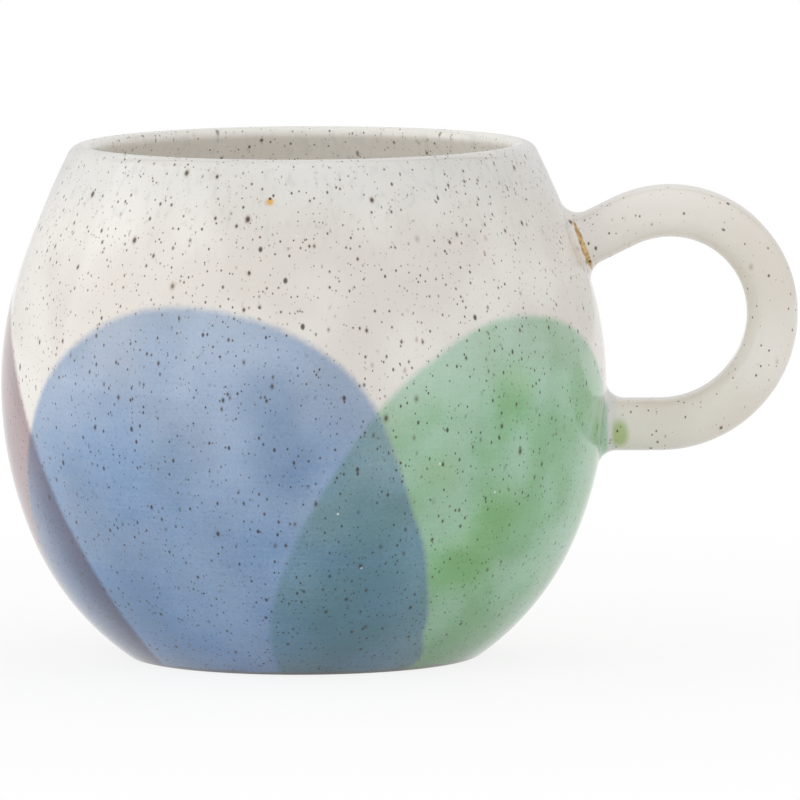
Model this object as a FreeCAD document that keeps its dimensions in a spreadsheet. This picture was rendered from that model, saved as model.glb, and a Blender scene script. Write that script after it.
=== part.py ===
# Stoneware mug with a round belly and a loop handle.
#
# Millimetres, +Z up. The bowl is turned about Z, its foot stands on Z = 0 and
# the handle lies in the XZ plane and points towards +X.
#
# The mug is made of the pieces that a potter makes and joins: the bowl, the
# handle, and at each end of the handle a slip joint. A slip joint is the thin
# bed of liquid clay between the handle and the wall together with the collar
# of soft clay that is smoothed round the root.
import FreeCAD
import Part
import Sketcher
import math
import os

doc = FreeCAD.newDocument("mug")

# Driving sizes, in millimetres and degrees.
SIZES = [
    ("belly_radius", 50.0, "outside radius at the widest circle"),
    ("belly_height", 44.9, "height of the widest circle"),
    ("cup_height", 85.0, "height of the lip's highest circle"),
    ("crest_radius", 36.4, "radius of the lip's highest circle"),
    ("neck_turn", 1.39, "lean of the wall under the lip, over the lean from belly to crest"),
    ("lip_round", 2.55, "outside rounding of the lip"),
    ("foot_radius", 28.9, "outside radius of the foot"),
    ("foot_turn", 2.2, "lean of the wall at the foot, over the lean from foot to belly"),
    ("foot_round", 1.2, "rounding of the foot's outer edge"),
    ("foot_width", 4.0, "width of the ring that the mug stands on"),
    ("foot_recess", 1.2, "depth of the trimmed hollow inside the foot ring"),
    ("wall", 3.5, "thickness of the wall, square to its surface"),
    ("recess_slope", 45.0, "rise of the side of that hollow"),
    ("floor", 4.5, "thickness of the floor over the hollow"),
    ("floor_round", 16.0, "sweep between the floor and the inside wall"),
    ("handle_reach", 81.6, "distance from the axis to the outside of the loop"),
    ("handle_high", 73.4, "height of the centreline at the top of the loop"),
    ("handle_low", 38.0, "height of the centreline of the lower arm"),
    ("handle_top_round", 16.85, "centreline radius of the loop's upper corner"),
    ("handle_root_round", 17.3, "centreline radius where the loop bends to the wall"),
    ("handle_root_slope", 26.0, "rise of the upper arm as it leaves the wall"),
    ("handle_thick", 8.4, "thickness of the handle as seen from the side"),
    ("handle_width", 10.6, "width of the handle across the grip"),
    ("handle_edge", 3.6, "rounding of the handle's long edges"),
    ("slip_bed", 0.5, "thickness of the slip between handle and wall"),
    ("upper_collar", 3.0, "rounding of the clay collar at the upper root"),
    ("lower_collar", 3.0, "rounding of the clay collar at the lower root"),
]

sheet = doc.addObject("Spreadsheet::Sheet", "Sizes")
for row, (alias, number, note) in enumerate(SIZES, start=1):
    sheet.set(f"A{row}", note)
    sheet.set(f"B{row}", str(number))
    sheet.setAlias(f"B{row}", alias)
doc.recompute()
size = {alias: number for alias, number, note in SIZES}

# Ends of a piece of geometry in a sketch, as the constraints count them.
START, END, CENTRE = range(1, 4)
# The sketch's own vertical and horizontal axis. Its origin starts the latter.
SKETCH_Y, SKETCH_X = range(-2, 0)
ORIGIN = SKETCH_X


def vector(x, y):
    return FreeCAD.Vector(x, y, 0)


def new_body(name):
    """An empty body whose label names its file."""
    body = doc.addObject("PartDesign::Body", name)
    body.Label = name
    return body


def new_sketch(body, name, plane):
    """A sketch on one of the body's own origin planes."""
    sketch = body.newObject("Sketcher::SketchObject", name)
    for feature in body.Origin.OriginFeatures:
        if feature.Role == plane:
            sketch.AttachmentSupport = [(feature, "")]
    sketch.MapMode = "FlatFace"
    return sketch


def line(sketch, start, end, construction=False):
    segment = Part.LineSegment(vector(*start), vector(*end))
    return sketch.addGeometry(segment, construction)


def arc(sketch, centre, radius, start, end):
    """An arc drawn anticlockwise from one angle to the other, in radians."""
    circle = Part.Circle(vector(*centre), FreeCAD.Vector(0, 0, 1), radius)
    return sketch.addGeometry(Part.ArcOfCircle(circle, start, end))


def fix(sketch, kind, *items):
    return sketch.addConstraint(Sketcher.Constraint(kind, *items))


def dimension(sketch, name, expression, kind, *items):
    """A constraint whose value follows the sheet."""
    index = fix(sketch, kind, *items)
    sketch.renameConstraint(index, name)
    sketch.setExpression(f"Constraints.{name}", expression)


def point_at(sketch, where, x_name, x_rule, x_now, y_name, y_rule, y_now):
    """Hold a point at named distances from the axis and from the ground."""
    dimension(sketch, x_name, x_rule, "DistanceX", ORIGIN, START, *where, x_now)
    dimension(sketch, y_name, y_rule, "DistanceY", ORIGIN, START, *where, y_now)


def arc_pair(near, near_way, far, far_way):
    """Two arcs that run from near to far, tangent to the ways given there.

    Both tangents have one length, so the arcs meet in the middle of the line
    between the tangents' tips. Returns the tips, the meeting point and, for
    each arc, its centre and radius.
    """
    gap = (far[0] - near[0], far[1] - near[1])
    ways = (near_way[0] + far_way[0], near_way[1] + far_way[1])
    along = gap[0] * ways[0] + gap[1] * ways[1]
    turn = 2 * (1 - near_way[0] * far_way[0] - near_way[1] * far_way[1])
    reach = math.hypot(*gap)
    length = (math.sqrt(along**2 + turn * reach**2) - along) / turn
    near_tip = (near[0] + length * near_way[0], near[1] + length * near_way[1])
    far_tip = (far[0] - length * far_way[0], far[1] - length * far_way[1])
    meet = ((near_tip[0] + far_tip[0]) / 2, (near_tip[1] + far_tip[1]) / 2)
    circles = []
    for end, way in ((near, near_way), (far, far_way)):
        normal = (-way[1], way[0])
        chord = (meet[0] - end[0], meet[1] - end[1])
        radius = (chord[0]**2 + chord[1]**2) / (2 * (chord[0] * normal[0] + chord[1] * normal[1]))
        centre = (end[0] + radius * normal[0], end[1] + radius * normal[1])
        circles.append((centre, radius))
    return near_tip, far_tip, meet, circles


def bearing(centre, point):
    return math.atan2(point[1] - centre[1], point[0] - centre[0])


# Where the outside of the wall starts, is widest and ends, and which way it
# runs there. The belly is upright at its widest circle.
def lean_of(run, rise):
    """How far a line leans from upright."""
    return math.atan2(run, rise)


lean = size["neck_turn"] * lean_of(
    size["belly_radius"] - size["crest_radius"],
    size["cup_height"] - size["belly_height"],
)
slope = math.pi / 2 - size["foot_turn"] * lean_of(
    size["belly_radius"] - size["foot_radius"],
    size["belly_height"],
)
NECK_ANGLE = (
    "90 deg + Sizes.neck_turn * "
    "atan2(Sizes.belly_radius - Sizes.crest_radius; Sizes.cup_height - Sizes.belly_height)"
)
FOOT_ANGLE = (
    "90 deg - Sizes.foot_turn * "
    "atan2(Sizes.belly_radius - Sizes.foot_radius; Sizes.belly_height)"
)
foot_point = (size["foot_radius"], 0)
belly_point = (size["belly_radius"], size["belly_height"])
crest_point = (size["crest_radius"], size["cup_height"])
lip_centre = (crest_point[0], crest_point[1] - size["lip_round"])
neck_point = (
    lip_centre[0] + size["lip_round"] * math.cos(lean),
    lip_centre[1] + size["lip_round"] * math.sin(lean),
)
foot_way = (math.cos(slope), math.sin(slope))
neck_way = (-math.sin(lean), math.cos(lean))
lower_pair = arc_pair(foot_point, foot_way, belly_point, (0, 1))
upper_pair = arc_pair(belly_point, (0, 1), neck_point, neck_way)


def draw_pair(sketch, pair, near, far):
    """Draw two arcs and the three construction lines that set them."""
    near_tip, far_tip, meet, circles = pair
    arcs = []
    for (centre, radius), ends in zip(circles, ((near, meet), (meet, far))):
        angles = [bearing(centre, end) for end in ends]
        arcs.append(arc(sketch, centre, radius, *angles))
    first, second = arcs
    near_line = line(sketch, near, near_tip, True)
    middle_line = line(sketch, near_tip, far_tip, True)
    far_line = line(sketch, far_tip, far, True)
    fix(sketch, "Tangent", near_line, START, first, START)
    fix(sketch, "Tangent", first, END, second, START)
    fix(sketch, "Tangent", second, END, far_line, END)
    fix(sketch, "Coincident", near_line, END, middle_line, START)
    fix(sketch, "Coincident", middle_line, END, far_line, START)
    fix(sketch, "Symmetric", middle_line, START, middle_line, END, first, END)
    fix(sketch, "Equal", near_line, far_line)
    return arcs, near_line, far_line


def draw_outside(sketch):
    """The outside of the wall, from the foot up to the crest of the lip."""
    (skirt, low_belly), foot_line, low_upright = draw_pair(sketch, lower_pair, foot_point, belly_point)
    (high_belly, shoulder), high_upright, neck_line = draw_pair(sketch, upper_pair, belly_point, neck_point)
    lip = arc(sketch, lip_centre, size["lip_round"], lean, math.pi / 2)
    fix(sketch, "Coincident", low_belly, END, high_belly, START)
    fix(sketch, "Vertical", low_upright)
    fix(sketch, "Vertical", high_upright)
    fix(sketch, "Tangent", shoulder, END, lip, START)
    fix(sketch, "Vertical", lip, END, lip, CENTRE)
    point_at(sketch, (low_belly, END),
             "belly_radius", "Sizes.belly_radius", belly_point[0],
             "belly_height", "Sizes.belly_height", belly_point[1])
    point_at(sketch, (lip, END),
             "crest_radius", "Sizes.crest_radius", crest_point[0],
             "cup_height", "Sizes.cup_height", crest_point[1])
    fix(sketch, "PointOnObject", skirt, START, SKETCH_X)
    dimension(sketch, "foot_radius", "Sizes.foot_radius",
              "DistanceX", ORIGIN, START, skirt, START, foot_point[0])
    dimension(sketch, "lip_round", "Sizes.lip_round", "Radius", lip, size["lip_round"])
    dimension(sketch, "foot_slope", FOOT_ANGLE, "Angle", foot_line, slope)
    dimension(sketch, "neck_slope", NECK_ANGLE, "Angle", neck_line, math.pi / 2 + lean)
    return skirt, low_belly, high_belly, shoulder, lip


def revolve(body, sketch, name):
    turned = body.newObject("PartDesign::Revolution", name)
    turned.Profile = sketch
    turned.ReferenceAxis = (sketch, ["V_Axis"])
    turned.Angle = 360
    sketch.Visibility = False
    return turned


# The solid that the outside of the bowl bounds. The handle is fitted to it. The
# sketches of the bowl lie in the YZ plane, so that the seam of the turned faces
# is a quarter turn away from the handle.
form = new_body("bowl_form")
outline = new_sketch(form, "bowl_outline", "YZ_Plane")
skirt, low_belly, high_belly, shoulder, lip = draw_outside(outline)
top_line = line(outline, crest_point, (0, crest_point[1]))
axis_line = line(outline, (0, crest_point[1]), (0, 0))
foot_line = line(outline, (0, 0), foot_point)
fix(outline, "Coincident", lip, END, top_line, START)
fix(outline, "Horizontal", top_line)
fix(outline, "Coincident", top_line, END, axis_line, START)
fix(outline, "PointOnObject", axis_line, START, SKETCH_Y)
fix(outline, "Coincident", axis_line, END, foot_line, START)
fix(outline, "Coincident", foot_line, START, ORIGIN, START)
fix(outline, "Coincident", foot_line, END, skirt, START)
revolve(form, outline, "bowl_form_turned")


# The bowl: one turned section of the wall, the floor and the foot ring. The
# inside of the wall runs at one thickness from the outside.
def draw_inside(sketch, outside):
    """The inside of the wall, from the crest of the lip down to the floor."""
    skirt, low_belly, high_belly, shoulder, lip = outside
    circles = lower_pair[3] + upper_pair[3]
    meets = (lower_pair[2], belly_point, upper_pair[2])
    skirt_centre, skirt_radius = circles[0]
    skirt_radius -= size["wall"]
    shoulder_centre, shoulder_radius = circles[3]
    shoulder_radius -= size["wall"]
    over = (crest_point[0] - shoulder_centre[0], crest_point[1] - shoulder_centre[1])
    round_in = (over[0]**2 + over[1]**2 - shoulder_radius**2) / (2 * (shoulder_radius + over[1]))
    inner_lip_centre = (crest_point[0], crest_point[1] - round_in)
    floor_height = size["foot_recess"] + size["floor"]
    sweep_rise = floor_height + size["floor_round"] - skirt_centre[1]
    sweep_run = math.sqrt((skirt_radius - size["floor_round"])**2 - sweep_rise**2)
    sweep_centre = (skirt_centre[0] + sweep_run, skirt_centre[1] + sweep_rise)
    sweep_end = bearing(skirt_centre, sweep_centre)
    neck_end = bearing(shoulder_centre, inner_lip_centre)
    turns = [sweep_end]
    turns += [bearing(circle[0], meet) for circle, meet in zip(circles, meets)]
    turns.append(neck_end)
    inner = []
    for place, (centre, radius) in enumerate(circles):
        drawn = arc(sketch, centre, radius - size["wall"], turns[place], turns[place + 1])
        inner.append(drawn)
        fix(sketch, "Coincident", drawn, CENTRE, outside[place], CENTRE)
    inner_skirt, inner_low, inner_high, inner_shoulder = inner
    inner_lip = arc(sketch, inner_lip_centre, round_in, math.pi / 2, neck_end + math.pi)
    sweep = arc(sketch, sweep_centre, size["floor_round"], -math.pi / 2, sweep_end)
    floor_line = line(sketch, (0, floor_height), (sweep_centre[0], floor_height))
    fix(sketch, "Tangent", floor_line, END, sweep, START)
    fix(sketch, "Horizontal", floor_line)
    fix(sketch, "Tangent", sweep, END, inner_skirt, START)
    fix(sketch, "Tangent", inner_skirt, END, inner_low, START)
    fix(sketch, "Coincident", inner_low, END, inner_high, START)
    fix(sketch, "Horizontal", inner_low, END, low_belly, END)
    fix(sketch, "Tangent", inner_high, END, inner_shoulder, START)
    fix(sketch, "Tangent", inner_shoulder, END, inner_lip, END)
    fix(sketch, "Coincident", inner_lip, START, lip, END)
    fix(sketch, "Vertical", inner_lip, START, inner_lip, CENTRE)
    dimension(sketch, "wall", "Sizes.wall", "DistanceX", inner_low, END, low_belly, END, size["wall"])
    dimension(sketch, "floor_round", "Sizes.floor_round", "Radius", sweep, size["floor_round"])
    return floor_line, floor_height


bowl = new_body("bowl")
section = new_sketch(bowl, "bowl_section", "YZ_Plane")
outside = draw_outside(section)
floor_line, floor_height = draw_inside(section, outside)
recess = size["foot_recess"]
ring_inner = size["foot_radius"] - size["foot_width"]
bevel_run = recess / math.tan(math.radians(size["recess_slope"]))
axis_line = line(section, (0, floor_height), (0, recess))
recess_line = line(section, (0, recess), (ring_inner - bevel_run, recess))
bevel_line = line(section, (ring_inner, 0), (ring_inner - bevel_run, recess))
ring_line = line(section, (ring_inner, 0), foot_point)
fix(section, "Coincident", floor_line, START, axis_line, START)
fix(section, "PointOnObject", axis_line, START, SKETCH_Y)
fix(section, "PointOnObject", axis_line, END, SKETCH_Y)
fix(section, "Coincident", axis_line, END, recess_line, START)
fix(section, "Horizontal", recess_line)
fix(section, "Coincident", recess_line, END, bevel_line, END)
fix(section, "Coincident", bevel_line, START, ring_line, START)
fix(section, "Coincident", ring_line, END, outside[0], START)
fix(section, "Horizontal", ring_line)
dimension(section, "foot_recess", "Sizes.foot_recess",
          "DistanceY", ORIGIN, START, axis_line, END, recess)
dimension(section, "floor", "Sizes.floor",
          "DistanceY", axis_line, END, axis_line, START, size["floor"])
dimension(section, "foot_width", "Sizes.foot_width",
          "DistanceX", ring_line, START, ring_line, END, size["foot_width"])
dimension(section, "recess_slope", "(180 - Sizes.recess_slope) * 1 deg",
          "Angle", bevel_line, math.pi - math.radians(size["recess_slope"]))
bowl_turned = revolve(bowl, section, "bowl_turned")
doc.recompute()


def edges_where(shape, test):
    """Names of the shape's edges that pass a test."""
    return [f"Edge{number}" for number, edge in enumerate(shape.Edges, start=1) if test(edge)]


def on_foot_edge(edge):
    """True for the outer circle of the ring that the bowl stands on."""
    box = edge.BoundBox
    tiny = 0.001
    return box.ZMax < tiny and abs(box.XMax - size["foot_radius"]) < tiny


foot_edge = bowl.newObject("PartDesign::Fillet", "foot_edge")
foot_edge.Base = (bowl_turned, edges_where(bowl_turned.Shape, on_foot_edge))
foot_edge.setExpression("Radius", "Sizes.foot_round")
doc.recompute()

# The handle, as it is pulled and bent: one rounded strap along a path that
# starts and ends inside the wall.
high, low = size["handle_high"], size["handle_low"]
top_round = size["handle_top_round"]
low_round = high - low - top_round
root_round = size["handle_root_round"]
root_slope = math.radians(size["handle_root_slope"])
grip_x = size["handle_reach"] - size["handle_thick"] / 2
top_centre = (grip_x - top_round, high - top_round)
low_centre = (grip_x - low_round, high - top_round)
root_centre = (top_centre[0], high - root_round)
root_turn = math.pi / 2 + root_slope
root_point = (
    root_centre[0] + root_round * math.cos(root_turn),
    root_centre[1] + root_round * math.sin(root_turn),
)
arm_start = size["belly_radius"] - 2 * size["wall"]
arm_end_x = size["crest_radius"]
arm_end = (arm_end_x, root_point[1] - (root_point[0] - arm_end_x) * math.tan(root_slope))

loop = new_body("handle_loop")
path = new_sketch(loop, "handle_path", "XZ_Plane")
low_arm = line(path, (arm_start, low), (low_centre[0], low))
low_bend = arc(path, low_centre, low_round, -math.pi / 2, 0)
top_bend = arc(path, top_centre, top_round, 0, math.pi / 2)
root_bend = arc(path, root_centre, root_round, math.pi / 2, root_turn)
top_arm = line(path, root_point, arm_end)
fix(path, "Horizontal", low_arm)
fix(path, "Tangent", low_arm, END, low_bend, START)
fix(path, "Tangent", low_bend, END, top_bend, START)
fix(path, "Horizontal", low_bend, END, low_bend, CENTRE)
fix(path, "Tangent", top_bend, END, root_bend, START)
fix(path, "Vertical", top_bend, END, top_bend, CENTRE)
fix(path, "Tangent", root_bend, END, top_arm, START)
dimension(path, "arm_start", "Sizes.belly_radius - 2 * Sizes.wall",
          "DistanceX", ORIGIN, START, low_arm, START, arm_start)
dimension(path, "arm_end", "Sizes.crest_radius",
          "DistanceX", ORIGIN, START, top_arm, END, arm_end_x)
dimension(path, "handle_low", "Sizes.handle_low",
          "DistanceY", ORIGIN, START, low_arm, START, low)
dimension(path, "handle_high", "Sizes.handle_high",
          "DistanceY", ORIGIN, START, top_bend, END, high)
dimension(path, "grip", "Sizes.handle_reach - Sizes.handle_thick / 2",
          "DistanceX", ORIGIN, START, low_bend, END, grip_x)
dimension(path, "handle_top_round", "Sizes.handle_top_round", "Radius", top_bend, top_round)
dimension(path, "handle_root_round", "Sizes.handle_root_round", "Radius", root_bend, root_round)
dimension(path, "handle_root_slope", "(180 + Sizes.handle_root_slope) * 1 deg",
          "Angle", top_arm, math.pi + root_slope)

# The strap's section stands where the path starts.
def draw_strap(sketch):
    """A rectangle with rounded corners, drawn anticlockwise from its right side."""
    half_wide = size["handle_width"] / 2
    half_thick = size["handle_thick"] / 2
    edge = size["handle_edge"]
    sides = []
    corners = []
    for turn in range(4):
        angle = turn * math.pi / 2
        out = (math.cos(angle), math.sin(angle))
        ahead = (-out[1], out[0])
        depth, reach = (half_thick, half_wide) if turn % 2 else (half_wide, half_thick)
        middle = (depth * out[0], low + depth * out[1])
        run = reach - edge
        start = (middle[0] - run * ahead[0], middle[1] - run * ahead[1])
        end = (middle[0] + run * ahead[0], middle[1] + run * ahead[1])
        centre = (end[0] - edge * out[0], end[1] - edge * out[1])
        sides.append(line(sketch, start, end))
        corners.append(arc(sketch, centre, edge, angle, angle + math.pi / 2))
    for turn in range(4):
        fix(sketch, "Tangent", sides[turn], END, corners[turn], START)
        fix(sketch, "Tangent", corners[turn], END, sides[(turn + 1) % 4], START)
    for corner in corners[1:]:
        fix(sketch, "Equal", corners[0], corner)
    right, top, left, bottom = sides
    fix(sketch, "Vertical", right)
    fix(sketch, "Symmetric", top, START, top, END, SKETCH_Y)
    fix(sketch, "Vertical", left)
    fix(sketch, "Horizontal", bottom)
    dimension(sketch, "handle_edge", "Sizes.handle_edge", "Radius", corners[0], edge)
    dimension(sketch, "handle_width", "Sizes.handle_width",
              "DistanceX", left, START, right, START, 2 * half_wide)
    dimension(sketch, "handle_thick", "Sizes.handle_thick",
              "DistanceY", bottom, START, top, START, 2 * half_thick)
    dimension(sketch, "underside", "Sizes.handle_low - Sizes.handle_thick / 2",
              "DistanceY", ORIGIN, START, bottom, START, low - half_thick)


strap = new_sketch(loop, "handle_section", "YZ_Plane")
strap.setExpression("AttachmentOffset.Base.z", "Sizes.belly_radius - 2 * Sizes.wall")
draw_strap(strap)
doc.recompute()
pipe = loop.newObject("PartDesign::AdditivePipe", "handle_strap")
pipe.Profile = strap
pipe.Spine = (path, [])
strap.Visibility = False
path.Visibility = False
doc.recompute()

# The form grown by the bed of slip trims the handle's two ends.
slipped = doc.addObject("Part::Offset", "slipped_form")
slipped.Source = form
slipped.setExpression("Value", "Sizes.slip_bed")

handle = doc.addObject("Part::Cut", "handle")
handle.Label = "handle"
handle.Base = loop
handle.Tool = slipped
doc.recompute()


# The slip joints. Bowl and handle are joined as forms, the corners round both
# roots are filled with a collar, and what neither piece fills is the slip.
joined = doc.addObject("Part::Fuse", "joined_form")
joined.Base = form
joined.Tool = loop
doc.recompute()


def lies_on(edge, shape):
    """True when an edge's two ends and its middle lie on a shape's skin."""
    tiny = 0.001
    points = [Part.Vertex(point) for point in edge.discretize(3)]
    return all(point.distToShape(shape.Shells[0])[0] < tiny for point in points)


def root_edges(shape, lowest, highest):
    """The edges between two heights where the handle runs into the wall."""
    def on_root(edge):
        box = edge.BoundBox
        if box.ZMin < lowest or box.ZMax > highest or box.XMin < 0:
            return False
        return lies_on(edge, form.Shape) and lies_on(edge, loop.Shape)
    return edges_where(shape, on_root)


blend = doc.addObject("PartDesign::Body", "blended_form")
blend.BaseFeature = joined
doc.recompute()
middle = (high + low) / 2
ROOTS = (
    ("lower", 0, middle),
    ("upper", middle, size["cup_height"]),
)
filled = blend.Group[0]
for root, lowest, highest in ROOTS:
    collar = blend.newObject("PartDesign::Fillet", f"{root}_collar_blend")
    collar.Base = (filled, root_edges(filled.Shape, lowest, highest))
    collar.setExpression("Radius", f"Sizes.{root}_collar")
    doc.recompute()
    filled = collar


def combine(kind, name, base, tool):
    result = doc.addObject(f"Part::{kind}", name)
    result.Base = base
    result.Tool = tool
    return result


# What of each root lies outside the bowl and the handle is its slip.
MIDDLE_RULE = "(Sizes.handle_high + Sizes.handle_low) / 2"
joints = []
for place, (root, lowest, highest) in enumerate(ROOTS):
    half = doc.addObject("Part::Box", f"{root}_half")
    half.setExpression("Length", "2 * Sizes.handle_reach")
    half.setExpression("Width", "2 * Sizes.handle_reach")
    half.setExpression("Height", MIDDLE_RULE)
    half.setExpression("Placement.Base.y", "-Sizes.handle_reach")
    half.setExpression("Placement.Base.z", f"{place} * {MIDDLE_RULE}")
    half_blend = combine("Common", f"{root}_half_blend", blend, half)
    outside_bowl = combine("Cut", f"{root}_outside_bowl", half_blend, form)
    joint = combine("Cut", f"{root}_slip_joint", outside_bowl, handle)
    joint.Label = f"{root}_slip_joint"
    joints.append(joint)
doc.recompute()

# Check every object, then write one file for each piece of the mug.
for item in doc.Objects:
    if "Invalid" in item.State or "Error" in item.State:
        raise RuntimeError(f"{item.Name} failed: {item.State}")
os.makedirs("parts", exist_ok=True)
pieces = [bowl, handle] + joints
for piece in pieces:
    if piece.Shape.isNull() or not piece.Shape.isValid():
        raise RuntimeError(f"{piece.Label} has no valid shape")
for piece in pieces:
    piece.Shape.exportStep(f"parts/{piece.Label}.step")
    solids = len(piece.Shape.Solids)
    print(f"{piece.Label}: {solids} solid, {piece.Shape.Volume / 1000:.2f} cm3")
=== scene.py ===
# %% [markdown]
# # A speckled stoneware mug
# The real mug is one turned bowl of iron-rich clay with a pulled strap of the
# same clay stuck on with slip. It is glazed cream, and its sides are dipped at
# a slant into three coloured glazes, which show as soft overlapping rounds.
# This lesson dresses the solids of that mug: first the camera, then the skins
# of the bowl, the handle and its two roots, then the glaze, and last the light.

# %% Load the solids
import bpy
import bmesh
import math
from mathutils import Matrix, Vector


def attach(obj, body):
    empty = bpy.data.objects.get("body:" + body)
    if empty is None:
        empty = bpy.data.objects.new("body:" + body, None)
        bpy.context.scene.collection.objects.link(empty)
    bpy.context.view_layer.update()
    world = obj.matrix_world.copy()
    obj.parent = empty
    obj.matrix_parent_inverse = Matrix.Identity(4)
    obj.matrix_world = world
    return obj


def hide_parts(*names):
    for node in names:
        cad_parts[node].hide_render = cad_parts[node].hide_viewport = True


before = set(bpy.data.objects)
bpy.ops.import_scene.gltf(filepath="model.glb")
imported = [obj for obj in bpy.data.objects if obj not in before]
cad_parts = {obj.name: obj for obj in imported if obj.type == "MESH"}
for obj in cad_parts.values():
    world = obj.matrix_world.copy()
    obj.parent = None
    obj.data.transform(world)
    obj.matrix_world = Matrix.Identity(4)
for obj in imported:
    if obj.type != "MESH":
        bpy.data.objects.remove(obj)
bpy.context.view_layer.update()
print("solids:", sorted(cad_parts))

# %% [markdown]
# ## The measures
# A potter works with a gauge of the outside and a feeling for the wall. The
# same few measures are written here once, in millimetres, and every skin is
# made from them, so all skins meet where the solids meet.

# %% Measures of the mug
MM = 0.001
BELLY_RADIUS, BELLY_HEIGHT = 50.0, 44.9
CREST_RADIUS, CUP_HEIGHT = 36.4, 85.0
FOOT_RADIUS, FOOT_ROUND, FOOT_WIDTH, FOOT_RECESS = 28.9, 1.2, 4.0, 1.2
LIP_ROUND, NECK_TURN, FOOT_TURN = 2.55, 1.39, 2.2
WALL, FLOOR_HEIGHT, FLOOR_ROUND = 3.5, 5.7, 16.0
print("mug", 2 * BELLY_RADIUS, "mm wide,", CUP_HEIGHT, "mm high")

# %% [markdown]
# ## The camera
# A mug that is photographed for a shop is seen from far away with a long lens,
# nearly level, so that its rim is a thin ellipse. The camera is set from a
# distance, a height angle and a slight roll, which is easier to correct than
# three coordinates and three turns.

# %% Camera
CAMERA_AIM = Vector((15.882, 0.0, 42.131)) * MM
CAMERA_AWAY = 1.9
CAMERA_RISE = math.radians(5.779)
CAMERA_ROLL = math.radians(-0.255)
LENS, SENSOR_WIDTH = 517.3, 36.0

away = Vector((0.0, -math.cos(CAMERA_RISE), math.sin(CAMERA_RISE)))
level_up = Vector((0.0, math.sin(CAMERA_RISE), math.cos(CAMERA_RISE)))
level_right = Vector((1.0, 0.0, 0.0))
right = math.cos(CAMERA_ROLL) * level_right + math.sin(CAMERA_ROLL) * level_up
up = math.cos(CAMERA_ROLL) * level_up - math.sin(CAMERA_ROLL) * level_right

camera_data = bpy.data.cameras.new("camera")
camera_data.sensor_width = SENSOR_WIDTH
camera_data.lens = LENS
camera_data.clip_end = 50.0
camera = bpy.data.objects.new("camera", camera_data)
bpy.context.scene.collection.objects.link(camera)
turn = Matrix((right, up, away)).transposed().to_4x4()
camera.matrix_world = Matrix.Translation(CAMERA_AIM + CAMERA_AWAY * away) @ turn
bpy.context.scene.camera = camera
print("camera at", [round(number, 3) for number in camera.matrix_world.translation])

# %% [markdown]
# ## The line of the wall
# The belly of a turned mug is a chain of curves that run into each other
# without a kink. Two arcs that leave both ends at given slopes and meet in the
# middle make such a curve, once from the foot to the belly and once from the
# belly to the lip.

# %% Two arcs that meet smoothly
def arc_pair(near, near_way, far, far_way):
    """Centre and radius of each of two arcs from near to far, and where they meet."""
    gap = far - near
    along = gap.dot(near_way + far_way)
    bend = 2.0 * (1.0 - near_way.dot(far_way))
    length = (math.sqrt(along**2 + bend * gap.length_squared) - along) / bend
    meet = (near + far + length * (near_way - far_way)) / 2.0
    arcs = []
    for end, way in ((near, near_way), (far, far_way)):
        normal = Vector((-way.y, way.x))
        chord = meet - end
        radius = chord.length_squared / (2.0 * chord.dot(normal))
        arcs.append((end + radius * normal, radius))
    return arcs, meet


foot_point = Vector((FOOT_RADIUS, 0.0))
belly_point = Vector((BELLY_RADIUS, BELLY_HEIGHT))
crest_point = Vector((CREST_RADIUS, CUP_HEIGHT))
foot_lean = FOOT_TURN * math.atan2(BELLY_RADIUS - FOOT_RADIUS, BELLY_HEIGHT)
neck_lean = NECK_TURN * math.atan2(BELLY_RADIUS - CREST_RADIUS, CUP_HEIGHT - BELLY_HEIGHT)
foot_way = Vector((math.sin(foot_lean), math.cos(foot_lean)))
neck_way = Vector((-math.sin(neck_lean), math.cos(neck_lean)))
lip_centre = crest_point - Vector((0.0, LIP_ROUND))
neck_point = lip_centre + LIP_ROUND * Vector((math.cos(neck_lean), math.sin(neck_lean)))
upright = Vector((0.0, 1.0))
low_arcs, low_meet = arc_pair(foot_point, foot_way, belly_point, upright)
high_arcs, high_meet = arc_pair(belly_point, upright, neck_point, neck_way)
WALL_ARCS = low_arcs + high_arcs
WALL_TOPS = (low_meet.y, BELLY_HEIGHT, high_meet.y, CUP_HEIGHT)
print("wall arcs:", [round(radius, 1) for centre, radius in WALL_ARCS])


# %% The wall at any height
def wall_at(height):
    """Outside radius of the bowl at a height, and how its skin faces there."""
    for (centre, radius), top in zip(WALL_ARCS, WALL_TOPS):
        if height <= top:
            break
    rise = (height - centre.y) / radius
    run = math.sqrt(1.0 - rise**2)
    return centre.x + radius * run, run, rise


print("wall at 60 mm:", [round(number, 2) for number in wall_at(60.0)])

# %% [markdown]
# ## The section of the bowl
# A template for turning shows half of the section. Here it is a list of points
# that starts under the foot, climbs the outside, rolls over the lip and comes
# down the inside to the middle of the floor. Each stretch knows its finish:
# the foot is left bare so that it doesn't stick to the kiln shelf.

# %% Section from foot to floor
BARE, OUTSIDE, INSIDE = range(3)
section = []
finishes = []


def bearing(centre, point):
    return math.atan2(point.y - centre.y, point.x - centre.x)


def add_point(point, finish):
    section.append(Vector(point))
    finishes.append(finish)


def add_arc(centre, radius, start, end, finish, step=1.3):
    """Points along an arc, without its first one."""
    count = max(3, round(abs(end - start) * radius / step))
    for number in range(1, count + 1):
        angle = start + (end - start) * number / count
        add_point(centre + radius * Vector((math.cos(angle), math.sin(angle))), finish)


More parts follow.
